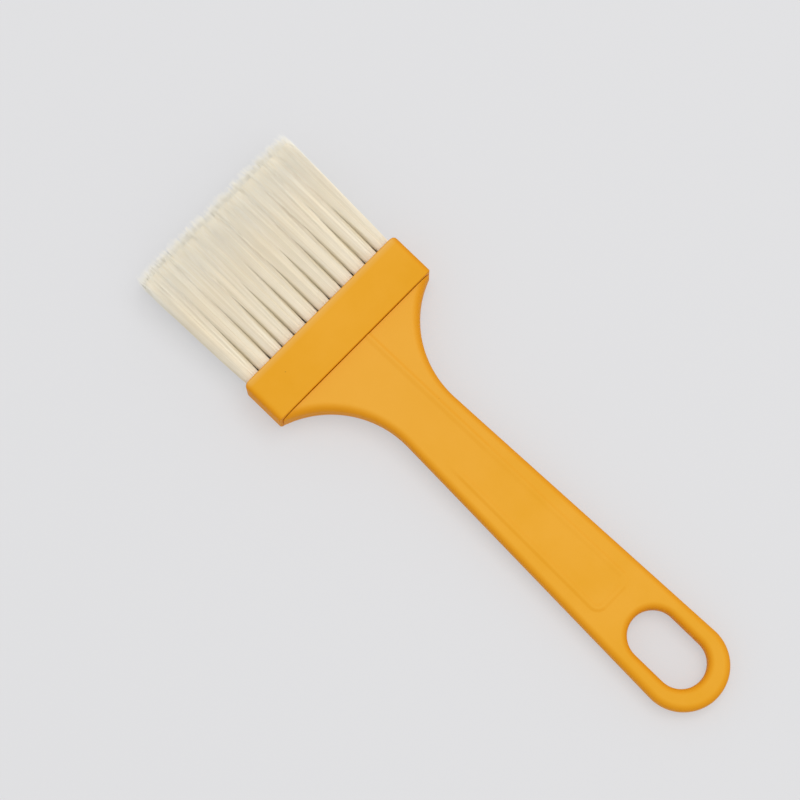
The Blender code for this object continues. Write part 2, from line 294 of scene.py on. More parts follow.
def handle_outline():
    """Flare, straight taper and round end, each tangent to the next, with a lead-in to be cut off."""
    sin_taper, cos_taper = math.sin(GRIP_TAPER), math.cos(GRIP_TAPER)
    end_centre = (END_X - GRIP_END_RADIUS, 0.0)
    flare_x = FRONT_X + FLARE_CENTRE_FROM_FRONT
    edge_y = (GRIP_END_RADIUS - (end_centre[0] - flare_x) * sin_taper) / cos_taper
    flare_centre = (flare_x, edge_y + FLARE_RADIUS / cos_taper)
    land_angle = math.asin((SHOULDER_WIDTH / 2 - flare_centre[1]) / FLARE_RADIUS)
    flare = arc(flare_centre, FLARE_RADIUS, -math.pi - land_angle, GRIP_TAPER - math.pi / 2, ROUND_STEPS)
    end = arc(end_centre, GRIP_END_RADIUS, math.pi / 2 + GRIP_TAPER, 0.0, ROUND_STEPS)
    shoulder_x, shoulder_y = flare[0]
    steepness = (flare_centre[0] - shoulder_x) / (flare_centre[1] - shoulder_y)
    half = [(shoulder_x - LEAD_IN, shoulder_y + LEAD_IN * steepness)] + flare + end[:-1]
    return half + [(END_X, 0.0)] + [(x, -y) for x, y in reversed(half)]


print(f"handle outline of {len(handle_outline())} points")

# %% Outline of the hanging slot
SLOT_LENGTH = 0.0184
SLOT_WIDTH = 0.0108
SLOT_CENTRE_FROM_FRONT = 0.0985


def slot_outline():
    """A slot with straight sides and half-round ends."""
    radius = SLOT_WIDTH / 2
    centre_x = FRONT_X + SLOT_CENTRE_FROM_FRONT
    reach = SLOT_LENGTH / 2 - radius
    rear = arc((centre_x + reach, 0.0), radius, math.pi / 2, -math.pi / 2, ROUND_STEPS)
    front = arc((centre_x - reach, 0.0), radius, -math.pi / 2, -3 * math.pi / 2, ROUND_STEPS)
    return rear + front


print(f"slot outline of {len(slot_outline())} points")

# %% A rounded plate from flat outlines
GRIP_THICKNESS = 0.0052
GRIP_EDGE_RADIUS = 0.0015
GRIP_EDGE_STEPS = 7
MERGE_DISTANCE = 1e-6


def plate_from_outlines(outlines, half_thickness, edge_radius=0.0, edge_steps=1):
    """Fills closed flat outlines and extrudes them about z = 0, with rounded edges, as a bmesh."""
    curve = bpy.data.curves.new("outline", "CURVE")
    curve.dimensions = "2D"
    curve.fill_mode = "BOTH"
    curve.extrude = half_thickness - edge_radius
    curve.bevel_depth = edge_radius
    curve.bevel_resolution = edge_steps
    curve.offset = -edge_radius
    for outline in outlines:
        spline = curve.splines.new("POLY")
        spline.points.add(len(outline) - 1)
        spline.use_cyclic_u = True
        for point, (x, y) in zip(spline.points, outline):
            point.co = (x, y, 0.0, 1.0)
    drawn = bpy.data.objects.new("outline", curve)
    bpy.context.scene.collection.objects.link(drawn)
    graph = bpy.context.evaluated_depsgraph_get()
    mesh = bpy.data.meshes.new_from_object(drawn.evaluated_get(graph))
    bm = bmesh.new()
    bm.from_mesh(mesh)
    bmesh.ops.remove_doubles(bm, verts=bm.verts, dist=MERGE_DISTANCE)
    bpy.data.objects.remove(drawn, do_unlink=True)
    bpy.data.curves.remove(curve)
    bpy.data.meshes.remove(mesh)
    return bm


handle_bm = plate_from_outlines(
    [handle_outline(), slot_outline()], GRIP_THICKNESS / 2, GRIP_EDGE_RADIUS, GRIP_EDGE_STEPS
)
print(f"rounded plate of {len(handle_bm.faces)} faces")

# %% [markdown]
# ### The raised panel
# A soft bead runs round the panel, 0.22 mm high and about 2 mm wide: it rises to a crest and falls to a
# level a little above the face. That is too little to see from the side, but it draws the long faint
# lines on the grip, one edge falling away from the light and the other leaning towards it. A bump in the
# material could draw them too, but it wouldn't be in the exported mesh. So the bead is a row of closed
# loops that ease up and down, and the face is filled anew between it and the rim of the plate.

# %% Section and loops of the panel's bead
PANEL_HEIGHT = 0.00022
PANEL_FRONT_WIDTH = 0.0078
PANEL_REAR_WIDTH = 0.0100
PANEL_END_FROM_FRONT = 0.0838
PANEL_CORNER_RADIUS = 0.0022
PANEL_CORNER_STEPS = 10
PANEL_LEAD_IN = 0.003
BEAD_CREST = 0.45
BEAD_INSIDE_LEVEL = 0.35


def panel_loop(inset):
    """One closed loop of the bead, moved inwards by inset."""
    front = (SHOULDER_X - PANEL_LEAD_IN + inset, PANEL_FRONT_WIDTH / 2 - inset)
    corner_x = FRONT_X + PANEL_END_FROM_FRONT - PANEL_CORNER_RADIUS
    corner = (corner_x, PANEL_REAR_WIDTH / 2 - PANEL_CORNER_RADIUS)
    half = [front] + arc(corner, PANEL_CORNER_RADIUS - inset, math.pi / 2, 0.0, PANEL_CORNER_STEPS)
    return half + [(x, -y) for x, y in reversed(half)]


def ease(share):
    """0 to 1 with a soft start and a soft end."""
    share = min(1.0, max(0.0, share))
    return share * share * (3.0 - 2.0 * share)


def bead_height(share):
    """Height across the bead: up to a crest, then down to the level of the inside."""
    falling = ease((share - BEAD_CREST) / (1.0 - BEAD_CREST))
    return PANEL_HEIGHT * (ease(share / BEAD_CREST) - (1.0 - BEAD_INSIDE_LEVEL) * falling)


print(f"bead {bead_height(BEAD_CREST) * 1000:.2f} mm high, its inside {bead_height(1.0) * 1000:.2f} mm")

# %% Faces of the handle with their raised panels
BEAD_WIDTH = 0.0022
BEAD_STEPS = 14
LEVEL_TOLERANCE = 1e-6


def raise_panel(bm, side):
    """Fills the top (side 1) or the bottom (side -1) of the plate anew, round its panel."""
    level = side * GRIP_THICKNESS / 2
    flat = [face for face in bm.faces if all(abs(v.co.z - level) < LEVEL_TOLERANCE for v in face.verts)]
    bmesh.ops.delete(bm, geom=flat, context="FACES")
    rim = [edge for edge in bm.edges if edge.is_boundary]
    loops = []
    for i in range(BEAD_STEPS + 1):
        share = i / BEAD_STEPS
        points = panel_loop((share - BEAD_CREST / 2) * BEAD_WIDTH)
        loops.append([bm.verts.new((x, y, level + side * bead_height(share))) for x, y in points])
    foot = [bm.edges.new(pair) for pair in zip(loops[0], loops[0][1:] + loops[0][:1])]
    for outer, inner in zip(loops, loops[1:]):
        for i in range(len(outer)):
            after = (i + 1) % len(outer)
            bm.faces.new((outer[i], outer[after], inner[after], inner[i]))
    bm.faces.new(loops[-1])
    bmesh.ops.triangle_fill(bm, use_beauty=True, edges=rim + foot, normal=(0.0, 0.0, side))


for side in (1.0, -1.0):
    raise_panel(handle_bm, side)
open_edges = sum(edge.is_boundary for edge in handle_bm.edges)
print(f"panels raised: {len(handle_bm.faces)} faces, {open_edges} open edges")

# %% [markdown]
# ### Parting line and neck
# Two halves of a mould meet round the middle of the wall and leave a hair-thin ridge there: three cuts
# close together, the middle one pushed out. After that the blank is cut off square at the shoulder and
# cut across along the neck, so that it can be thickened smoothly from the grip to the block. The very end
# of the flare is held just inside the block's rounded corner. The bead fades on the way: along the neck
# only its right edge goes on, and that edge is faint at the rear.

# %% Parting line
PARTING_RIDGE_WIDTH = 0.00028
PARTING_RIDGE_HEIGHT = 0.00005
CUT_TOLERANCE = 1e-7


def cut_plane(bm, point, normal, clear_behind=False):
    """Cuts all faces along a plane; returns the new edges."""
    cut = bmesh.ops.bisect_plane(
        bm, geom=list(bm.verts) + list(bm.edges) + list(bm.faces), dist=CUT_TOLERANCE,
        plane_co=point, plane_no=normal, clear_inner=clear_behind,
    )
    return [item for item in cut["geom_cut"] if isinstance(item, bmesh.types.BMEdge)]


bmesh.ops.recalc_face_normals(handle_bm, faces=handle_bm.faces)
for share in (-0.5, 0.0, 0.5):
    cut_plane(handle_bm, (0.0, 0.0, share * PARTING_RIDGE_WIDTH), (0.0, 0.0, 1.0))
handle_bm.normal_update()
ridge = [vertex for vertex in handle_bm.verts if abs(vertex.co.z) < LEVEL_TOLERANCE]
for vertex in ridge:
    vertex.co += vertex.normal * PARTING_RIDGE_HEIGHT
print(f"parting line of {len(ridge)} points")

# %% Shape of the swelling neck
SHOULDER_THICKNESS = 0.0084
SHOULDER_LIMIT = 0.02118
NECK_RAMP_LENGTH = 0.034
NECK_EDGE_WIDENING = 0.035
LIP_RADIUS = 0.00015
BEAD_FADE_START_X = -0.002
BEAD_FADE_END_X = 0.008
BEAD_REAR_FADE = 0.7


def quarter_round(share):
    """0 where a rounded edge starts, 1 where it ends, along a quarter of a circle."""
    return 1.0 - math.sqrt(1.0 - min(1.0, max(0.0, share)) ** 2)


def bead_share(x, y):
    """Share of the bead's height: all of it on the grip, and in the neck only along the right edge."""
    on_grip = ease((x - BEAD_FADE_START_X) / (BEAD_FADE_END_X - BEAD_FADE_START_X))
    on_right = ease(0.5 + y / PANEL_FRONT_WIDTH)
    at_rear = ease((x - SHOULDER_X) / NECK_RAMP_LENGTH - 1.0)
    return (on_grip + (1.0 - on_grip) * on_right) * (1.0 - BEAD_REAR_FADE * at_rear * on_right)


def shape_neck(flat):
    """Takes a point of the flat plate to its place on the swelling neck."""
    from_shoulder = max(0.0, flat.x - SHOULDER_X)
    ramp = max(0.0, 1.0 - from_shoulder / NECK_RAMP_LENGTH)
    ratio = 1.0 + (SHOULDER_THICKNESS / GRIP_THICKNESS - 1.0) * ramp * ramp
    raised = max(0.0, abs(flat.z) - GRIP_THICKNESS / 2)
    on_edge = quarter_round(1.0 - (GRIP_THICKNESS / 2 - abs(flat.z)) / GRIP_EDGE_RADIUS)
    lip = LIP_RADIUS * quarter_round(1.0 - from_shoulder / LIP_RADIUS)
    narrower = NECK_EDGE_WIDENING * ramp * ramp * on_edge + lip / (SHOULDER_WIDTH / 2)
    height = (abs(flat.z) - raised) * ratio + raised * bead_share(flat.x, flat.y) - lip * on_edge / 2
    across = math.copysign(min(abs(flat.y), SHOULDER_LIMIT), flat.y) * (1.0 - narrower)
    return Vector((flat.x, across, MID_Z + math.copysign(height, flat.z)))


print(f"neck swells from {GRIP_THICKNESS * 1000:.1f} to {SHOULDER_THICKNESS * 1000:.1f} mm")

# %% Cut off the shoulder and thicken the neck
NECK_RAMP_CUTS = 40
LIP_CUTS = 4
shoulder_rim = cut_plane(handle_bm, (SHOULDER_X, 0.0, 0.0), (1.0, 0.0, 0.0), clear_behind=True)
bmesh.ops.holes_fill(handle_bm, edges=shoulder_rim)
for length, cuts in ((LIP_RADIUS, LIP_CUTS), (NECK_RAMP_LENGTH, NECK_RAMP_CUTS)):
    for i in range(1, cuts + 1):
        cut_plane(handle_bm, (SHOULDER_X + length / cuts * i, 0.0, 0.0), (1.0, 0.0, 0.0))
for vertex in handle_bm.verts:
    vertex.co = shape_neck(vertex.co)
print(f"handle blank: {len(handle_bm.faces)} faces")

# %% [markdown]
# ### Making a finished piece of it
# A tongue on the shoulder goes into the block. It is joined with a Boolean, because no one will look at
# that edge. The faces are shaded smooth, and Weighted Normal keeps the broad faces flat between
# the rounded edges. The result is turned into a plain mesh before the frame hears of it.


# %% Helpers that make objects
def mesh_from(bm, name):
    bmesh.ops.recalc_face_normals(bm, faces=bm.faces)
    mesh = bpy.data.meshes.new(name)
    bm.to_mesh(mesh)
    bm.free()
    return mesh


def new_object(name, mesh, material=None):
    obj = bpy.data.objects.new(name, mesh)
    bpy.context.scene.collection.objects.link(obj)
    if material:
        mesh.materials.clear()
        mesh.materials.append(material)
    return obj


def box_object(name, low, high):
    bm = bmesh.new()
    low, high = Vector(low), Vector(high)
    bmesh.ops.create_cube(bm, size=1.0)
    bmesh.ops.scale(bm, vec=high - low, verts=bm.verts)
    bmesh.ops.translate(bm, vec=(low + high) / 2, verts=bm.verts)
    return new_object(name, mesh_from(bm, name))


# %% Helpers that finish a piece
SHARP_ANGLE = math.radians(50.0)


def apply_modifiers(obj):
    """Turns an object with modifiers into a plain mesh of the same shape."""
    graph = bpy.context.evaluated_depsgraph_get()
    mesh = bpy.data.meshes.new_from_object(obj.evaluated_get(graph), depsgraph=graph)
    obj.modifiers.clear()
    obj.data = mesh


def combine(obj, operation, *tools):
    """Joins tools to a piece or cuts them out of it, and removes them."""
    for tool in tools:
        modifier = obj.modifiers.new(operation.lower(), "BOOLEAN")
        modifier.operation = operation
        modifier.object = tool
        modifier.solver = "EXACT"
    apply_modifiers(obj)
    for tool in tools:
        bpy.data.objects.remove(tool, do_unlink=True)


def smooth_faces(obj):
    obj.data.shade_smooth()
    obj.data.set_sharp_from_angle(angle=SHARP_ANGLE)
    normals = obj.modifiers.new("normals", "WEIGHTED_NORMAL")
    normals.keep_sharp = True
    apply_modifiers(obj)


def report(obj):
    """Prints a piece's size, its triangles, its volume and whether it is closed."""
    bm = bmesh.new()
    bm.from_mesh(obj.data)
    corners = [v.co for v in bm.verts]
    size = [(max(c[i] for c in corners) - min(c[i] for c in corners)) * 1000 for i in range(3)]
    loose = sum(not edge.is_manifold for edge in bm.edges)
    triangles = len(bm.calc_loop_triangles())
    volume = bm.calc_volume(signed=True) * 1e6
    bm.free()
    print(f"{obj.name}: {size[0]:.2f} x {size[1]:.2f} x {size[2]:.2f} mm, {triangles} triangles,"
          f" {volume:.2f} cm3, {loose} open edges")


# %% Finish the handle
TONGUE_WIDTH = 0.0388
TONGUE_THICKNESS = 0.0064
TONGUE_OVERLAP = 0.0004
handle = new_object("handle_moulding", mesh_from(handle_bm, "handle_moulding"), handle_plastic)
tongue = box_object(
    "tongue",
    (handle_low.x, -TONGUE_WIDTH / 2, MID_Z - TONGUE_THICKNESS / 2),
    (SHOULDER_X + TONGUE_OVERLAP, TONGUE_WIDTH / 2, MID_Z + TONGUE_THICKNESS / 2),
)
combine(handle, "UNION", tongue)
smooth_faces(handle)
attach(handle, "root")
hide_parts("handle")
report(handle)

# %% [markdown]
# ## The tuft block
# The block is a straight bar with well rounded edges at its two ends, smaller radii at its upright
# corners and all but sharp long edges. It could be drawn as a section and swept, but then its corners
# would need work. Here it takes two Bevel modifiers: the first has a width weighted edge by edge, large
# at the ends, smaller at the front corners and least at the rear ones, and the second takes the last
# sharpness off the edges that are left.

# %% Weigh the edges of the block
BLOCK_END_EDGE_WIDTH = 0.0026
BLOCK_FRONT_CORNER_WIDTH = 0.0019
BLOCK_REAR_CORNER_WIDTH = 0.0007
block = box_object("block_moulding", block_low, (BLOCK_REAR_X, block_high.y, block_high.z))
block.data.materials.append(block_plastic)
block_bm = bmesh.new()
block_bm.from_mesh(block.data)
weights = block_bm.edges.layers.float.new("bevel_weight_edge")
for edge in block_bm.edges:
    ends = [vertex.co for vertex in edge.verts]
    along = (ends[1] - ends[0]).normalized()
    if abs(along.x) > 0.5:
        edge[weights] = 1.0
    elif abs(along.z) > 0.5:
        at_front = ends[0].x < (FRONT_X + BLOCK_REAR_X) / 2
        width = BLOCK_FRONT_CORNER_WIDTH if at_front else BLOCK_REAR_CORNER_WIDTH
        edge[weights] = width / BLOCK_END_EDGE_WIDTH
print(f"{sum(edge[weights] > 0.0 for edge in block_bm.edges)} of {len(block_bm.edges)} edges weighted")
block_bm.to_mesh(block.data)
block_bm.free()

# %% Round the edges of the block
BLOCK_EDGE_STEPS = 10
BLOCK_EDGE_FULLNESS = 0.68
BLOCK_SMALL_WIDTH = 0.00025
BLOCK_SMALL_STEPS = 4
large_edges = block.modifiers.new("rounded edges", "BEVEL")
large_edges.limit_method = "WEIGHT"
large_edges.width = BLOCK_END_EDGE_WIDTH
large_edges.segments = BLOCK_EDGE_STEPS
large_edges.profile = BLOCK_EDGE_FULLNESS
small_edges = block.modifiers.new("small edges", "BEVEL")
small_edges.limit_method = "ANGLE"
small_edges.angle_limit = SHARP_ANGLE
small_edges.width = BLOCK_SMALL_WIDTH
small_edges.segments = BLOCK_SMALL_STEPS
apply_modifiers(block)
report(block)

# %% [markdown]
# Twenty-four blind holes in the front hold the tufts, and a socket in the back takes the tongue. The holes
# could be dark discs, but they are real: the dark spots between the roots of the tufts are their shaded
# mouths. Each one has the two grooves that the anchor's ends cut in its wall. All of them are one plate
# of flat outlines, turned to face the front and taken out of the bar with a Boolean.

# %% Outlines of the tuft holes
HOLE_RADIUS = 0.00145
HOLE_STEPS = 16
HOLE_DEPTH = FOLD_X - FRONT_X + FIT_GAP
GROOVE_GAP = 0.00006
groove_half_width = ANCHOR_WIDTH / 2 + GROOVE_GAP
groove_reach = ANCHOR_HEIGHT / 2 + GROOVE_GAP


def hole_outline(y, z):
    """A round hole with the two grooves that the anchor's ends cut in its wall."""
    edge_angle = math.acos(groove_half_width / HOLE_RADIUS)
    right = arc((0.0, 0.0), HOLE_RADIUS, -edge_angle, edge_angle, HOLE_STEPS)
    right += [(groove_half_width, groove_reach), (-groove_half_width, groove_reach)]
    return [(y + a, z + b) for a, b in right] + [(y - a, z - b) for a, b in right]


holes_bm = plate_from_outlines([hole_outline(*spot) for spot in tuft_centres.values()], HOLE_DEPTH)
facing_front = Matrix(((0, 0, 1, FRONT_X), (1, 0, 0, 0), (0, 1, 0, 0), (0, 0, 0, 1)))
bmesh.ops.transform(holes_bm, matrix=facing_front, verts=holes_bm.verts)
holes = new_object("holes", mesh_from(holes_bm, "holes"))
print(f"{len(tuft_centres)} holes, {HOLE_DEPTH * 1000:.1f} mm deep")

# %% Finish the block
SOCKET_OVERSHOOT = 0.003
socket_half_width = TONGUE_WIDTH / 2 + FIT_GAP
socket_half_height = TONGUE_THICKNESS / 2 + FIT_GAP
socket = box_object(
    "socket",
    (handle_low.x - FIT_GAP, -socket_half_width, MID_Z - socket_half_height),
    (BLOCK_REAR_X + SOCKET_OVERSHOOT, socket_half_width, MID_Z + socket_half_height),
)
combine(block, "DIFFERENCE", socket, holes)
smooth_faces(block)
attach(block, "root")
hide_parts("tuft_block")
report(block)

# %% [markdown]
# ## Cream bristle
# Soft bristle is off-white and lets a little light through, so a bundle of it glows inside and only its
# deepest gaps go brown. No two hairs have the same tone, and the tips are palest. A shader that lets
# light through could show this, but not in the exported model. So that brown is painted shade: the
# colour itself turns brown beside each gap between two tufts, over the first 13 mm of the hairs. The
# hairs carry two numbers, which the Geometry Nodes tree below stores on them: how far along the hair a
# point is, and a tone drawn once for each leg of a hair. The material reads both.

# %% Tones of the hairs
DARKEST_HAIR = (0.920, 0.828, 0.645, 1.0)
LIGHTEST_HAIR = (0.982, 0.908, 0.755, 1.0)
TIP_COLOUR = (1.000, 0.968, 0.872, 1.0)
TIP_COLOUR_FROM = 0.45
HAIR_ROUGHNESS = (0.42, 0.58)
bristle, tree, shader = new_finish("cream bristle")
along = add_node(tree, "ShaderNodeAttribute", attribute_name="along").outputs["Fac"]
tone = add_node(tree, "ShaderNodeAttribute", attribute_name="tone").outputs["Fac"]
hair_colour = mix_colours(tree, tone, DARKEST_HAIR, LIGHTEST_HAIR)
hair_colour = mix_colours(tree, remap(tree, along, TIP_COLOUR_FROM, 1.0, 0.0, 1.0), hair_colour, TIP_COLOUR)
tree.links.new(remap(tree, tone, 0.0, 1.0, *HAIR_ROUGHNESS), shader.inputs["Roughness"])
print(f"{bristle.name}: {len(tree.nodes)} nodes for the hairs")

# %% Painted shade, brown beside the gaps
# Colour of the painted shade beside the gaps, and where across and along the hairs it is full and where it
# stops.
GAP_SHADE_COLOUR = (0.835, 0.728, 0.510, 1.0)
GAP_SHADE_FULL, GAP_SHADE_NONE = 0.08, 0.18
GAP_SHADE_LENGTH, GAP_SHADE_FULL_LENGTH = 0.0135, 0.006
GAP_ROOT_LENGTH = 0.0035
GAP_ROOT_SHARE = 0.15
OUTER_TUFTS_Y = TUFT_PITCH * (TUFTS_IN_ROW - 1) / 2
place = split_vector(tree, add_node(tree, "ShaderNodeTexCoord").outputs["Object"])
from_gap = calculate(tree, "PINGPONG", calculate(tree, "DIVIDE", place["Y"], TUFT_PITCH), 0.5)
from_front = calculate(tree, "SUBTRACT", FRONT_X, place["X"])
shares = (
    remap(tree, from_gap, GAP_SHADE_FULL, GAP_SHADE_NONE, 1.0, 0.0),
    remap(tree, from_front, GAP_SHADE_LENGTH, GAP_SHADE_FULL_LENGTH, 0.0, 1.0),
    remap(tree, from_front, 0.0, GAP_ROOT_LENGTH, GAP_ROOT_SHARE, 1.0),
    calculate(tree, "LESS_THAN", calculate(tree, "ABSOLUTE", place["Y"]), OUTER_TUFTS_Y),
)
gap_shade_share = shares[0]
for share in shares[1:]:
    gap_shade_share = calculate(tree, "MULTIPLY", gap_shade_share, share)
tree.links.new(mix_colours(tree, gap_shade_share, hair_colour, GAP_SHADE_COLOUR), shader.inputs["Base Color"])
print(f"{bristle.name}: {len(tree.nodes)} nodes with the gaps")

# %% [markdown]
# ## The tufts
# Thousands of hairs are what Geometry Nodes are for. One tree draws one tuft: a straight line of points
# is copied once for each folded hair, and every point is then moved to where it belongs. A hair starts at
# one tip, runs into the hole, folds behind the anchor and comes out to its other tip. Its points crowd
# towards the fold, where it bends most, and each of its two legs falls short of the tuft's length by a
# random draw. The same tree makes all twenty-four tufts, with other numbers and another seed for each.

# %% Inputs of the tuft tree
TUFT_INPUTS = {
    "NodeSocketInt": ("Folded Hairs", "Strands", "Seed"),
    "NodeSocketVector": ("Mouth",),
    "NodeSocketFloat": (
        "Fold Depth", "Free Length", "Raggedness", "Root Radius", "Tip Half Width", "Tip Half Height",
        "Tip Drift", "Spread Power", "Inside Power", "Outward", "Anchor Gap", "Locks", "Lock Strength",
        "Hair Radius", "Tip Radius", "Strand Radius",
    ),
    "NodeSocketMaterial": ("Finish",),
}
tuft_tree = bpy.data.node_groups.new("bristle tuft", "GeometryNodeTree")
tuft_inputs = {
    name: tuft_tree.interface.new_socket(name, in_out="INPUT", socket_type=kind).identifier
    for kind, names in TUFT_INPUTS.items() for name in names
}
tuft_tree.interface.new_socket("Tuft", in_out="OUTPUT", socket_type="NodeSocketGeometry")
given = tuft_tree.nodes.new("NodeGroupInput").outputs
print(f"tuft tree with {len(tuft_inputs)} named inputs")

# %% Helpers for the tuft tree
SEED_STEP = 31.0
LENGTH_DRAW, SIDE_DRAW, HEIGHT_DRAW, TONE_DRAW, STRAND_END_DRAW, STRAND_TONE_DRAW = range(1, 7)


def tuft_node(kind, inputs, **settings):
    return add_node(tuft_tree, f"GeometryNode{kind}", inputs, **settings).outputs


def tuft_math(operation, *values):
    return calculate(tuft_tree, operation, *values)


def tuft_vector(x, y, z):
    return add_node(tuft_tree, "ShaderNodeCombineXYZ", {0: x, 1: y, 2: z}).outputs[0]


def tuft_draw(low, high, number, kind):
    """A random number for each leg or strand, from the tuft's seed and the kind of draw."""
    seed = tuft_math("ADD", tuft_math("MULTIPLY", given["Seed"], SEED_STEP), kind)
    inputs = {"Min_001": low, "Max_001": high, "ID": number, "Seed": seed}
    return add_node(tuft_tree, "FunctionNodeRandomValue", inputs, data_type="FLOAT").outputs[1]


def line_of_points(count):
    line = tuft_node("CurvePrimitiveLine", {"End": (1.0, 0.0, 0.0)})[0]
    return tuft_node("ResampleCurve", {"Curve": line, "Count": count})[0]


def copies_of(lines, amount):
    return tuft_node("DuplicateElements", {"Geometry": lines, "Amount": amount}, domain="SPLINE")


def move_to(geometry, x, y, z):
    """Puts every point at a place that is given from the middle of the hole's mouth."""
    parts = {0: tuft_vector(x, y, z), 1: given["Mouth"]}
    place = add_node(tuft_tree, "ShaderNodeVectorMath", parts, operation="ADD").outputs[0]
    return tuft_node("SetPosition", {"Geometry": geometry, "Position": place})[0]


# %% Hair lines, and where each point is on its hair
POINTS_ON_HAIR = 15
FOLD_CROWDING = 1.7
TIP_CROWDING = 1.3
hair_copies = copies_of(line_of_points(POINTS_ON_HAIR), given["Folded Hairs"])
hair_number = hair_copies["Duplicate Index"]
place_on_line = tuft_node("SplineParameter", {})["Factor"]
signed_run = tuft_math("MULTIPLY_ADD", place_on_line, 2.0, -1.0)
leg_side = tuft_math("SIGN", signed_run)
run = tuft_math("POWER", tuft_math("ABSOLUTE", signed_run), FOLD_CROWDING)
leg_number = tuft_math("MULTIPLY_ADD", hair_number, 2.0, tuft_math("GREATER_THAN", signed_run, 0.0))
length_draw = tuft_math("POWER", tuft_draw(0.0, 1.0, leg_number, LENGTH_DRAW), 1.0 / TIP_CROWDING)
shortfall = tuft_math("MULTIPLY", length_draw, given["Raggedness"])
leg_length = tuft_math("SUBTRACT", given["Free Length"], shortfall)
from_fold = tuft_math("MULTIPLY", run, tuft_math("ADD", leg_length, given["Fold Depth"]))
out_of_hole = tuft_math("DIVIDE", tuft_math("SUBTRACT", from_fold, given["Fold Depth"]), leg_length)
free_share = tuft_math("MAXIMUM", out_of_hole, 0.0)
print(f"{POINTS_ON_HAIR} points on a folded hair")

# %% [markdown]
# ### How a tuft opens
# A tuft is round in its hole and nearly square at the tips, where it fills its share of the pack. One
# function takes a place on a unit disc to its real place at any share of the free length, so that all
# parts of a tuft open alike. The half that faces the other row opens sooner, which closes the pack inside
# and leaves the gaps between the outer halves open. A noise that neighbours share gathers the hairs in
# locks.

# %% From a unit disc to the open tuft
SQUARENESS = 0.9
SQUARING_POWER = 0.5
SMALLEST_RADIUS = 0.001
LOCK_LENGTH = 0.3
OUTSIDE_FROM, INSIDE_FROM = 0.4, -0.3


def opened_share(unit_z, share):
    """How far a tuft has opened at a share of its free length, by how far inside the pack it is."""
    outwards = tuft_math("MULTIPLY", unit_z, given["Outward"])
    inside_share = remap(tuft_tree, outwards, OUTSIDE_FROM, INSIDE_FROM, 0.0, 1.0)
    inside_change = tuft_math("SUBTRACT", given["Inside Power"], given["Spread Power"])
    power = tuft_math("MULTIPLY_ADD", inside_share, inside_change, given["Spread Power"])
    return tuft_math("POWER", share, power)


def square_stretch(unit_y, unit_z, share):
    """The factor that takes the round section towards a square one."""
    longer = tuft_math("MAXIMUM", tuft_math("ABSOLUTE", unit_y), tuft_math("ABSOLUTE", unit_z))
    squares = tuft_math("MULTIPLY_ADD", unit_y, unit_y, tuft_math("MULTIPLY", unit_z, unit_z))
    to_square = tuft_math("DIVIDE", tuft_math("SQRT", squares), tuft_math("MAXIMUM", longer, SMALLEST_RADIUS))
    squareness = tuft_math("MULTIPLY", tuft_math("POWER", share, SQUARING_POWER), SQUARENESS)
    return tuft_math("MULTIPLY_ADD", tuft_math("SUBTRACT", to_square, 1.0), squareness, 1.0)


def across_tuft(unit_y, unit_z, share, lock_strength):
    """A place on the unit disc, brought to the tuft's real width and height at a share of its length."""
    stretch = square_stretch(unit_y, unit_z, share)
    lock_place = tuft_vector(unit_y, unit_z, tuft_math("MULTIPLY", share, LOCK_LENGTH))
    lock_inputs = {"Vector": lock_place, "W": given["Seed"], "Scale": given["Locks"], "Detail": 2.0}
    locks = add_node(tuft_tree, "ShaderNodeTexNoise", lock_inputs, noise_dimensions="4D")
    pull = split_vector(tuft_tree, locks.outputs["Color"])
    lock_reach = tuft_math("MULTIPLY", lock_strength, share)
    opened = opened_share(unit_z, share)
    places = []
    tips = ((unit_y, "Tip Half Width", given["Tip Drift"]), (unit_z, "Tip Half Height", 0.0))
    for i, (unit, tip_half, drift) in enumerate(tips):
        root = tuft_math("MULTIPLY", unit, given["Root Radius"])
        tip = tuft_math("MULTIPLY_ADD", tuft_math("MULTIPLY", unit, stretch), given[tip_half], drift)
        spread = tuft_math("MULTIPLY_ADD", tuft_math("SUBTRACT", tip, root), opened, root)
        places.append(tuft_math("MULTIPLY_ADD", tuft_math("SUBTRACT", pull[i], 0.5), lock_reach, spread))
    return places


print(f"section {SQUARENESS * 100:.0f}% square at the tips")

# %% [markdown]
# ### Where each leg lies
# A sunflower's spiral spaces the legs without clumps or rows. It runs over half a circle only, because
# the two legs of a hair take the two sides of the anchor. For most of their length the legs crowd towards
# the outside of the tuft, round its packed inside, and where that ends they spread to fill the whole tuft.

# %% Places of the legs on the unit disc
GOLDEN_SHARE = 0.618034
RIM_CROWDING = 4.0
EVEN_CROWDING = 2.0
EVEN_FROM, EVEN_TO = 0.83, 0.95
UNIT_JITTER = 0.035
half_turn = tuft_math("FRACT", tuft_math("MULTIPLY", hair_number, GOLDEN_SHARE))
angle = tuft_math("MULTIPLY", tuft_math("SUBTRACT", half_turn, 0.5), math.pi)
filled = tuft_math("DIVIDE", tuft_math("ADD", hair_number, 0.5), given["Folded Hairs"])
tuft_share = tuft_math("DIVIDE", tuft_math("MULTIPLY", free_share, leg_length), given["Free Length"])
crowding = remap(tuft_tree, tuft_share, EVEN_FROM, EVEN_TO, 1.0 / RIM_CROWDING, 1.0 / EVEN_CROWDING)
radius = tuft_math("POWER", filled, crowding)
unit_y = tuft_math("MULTIPLY", tuft_math("MULTIPLY", radius, tuft_math("COSINE", angle)), leg_side)
unit_y = tuft_math("ADD", unit_y, tuft_draw(-UNIT_JITTER, UNIT_JITTER, leg_number, SIDE_DRAW))
unit_z = tuft_math("MULTIPLY", radius, tuft_math("SINE", angle))
unit_z = tuft_math("ADD", unit_z, tuft_draw(-UNIT_JITTER, UNIT_JITTER, leg_number, HEIGHT_DRAW))
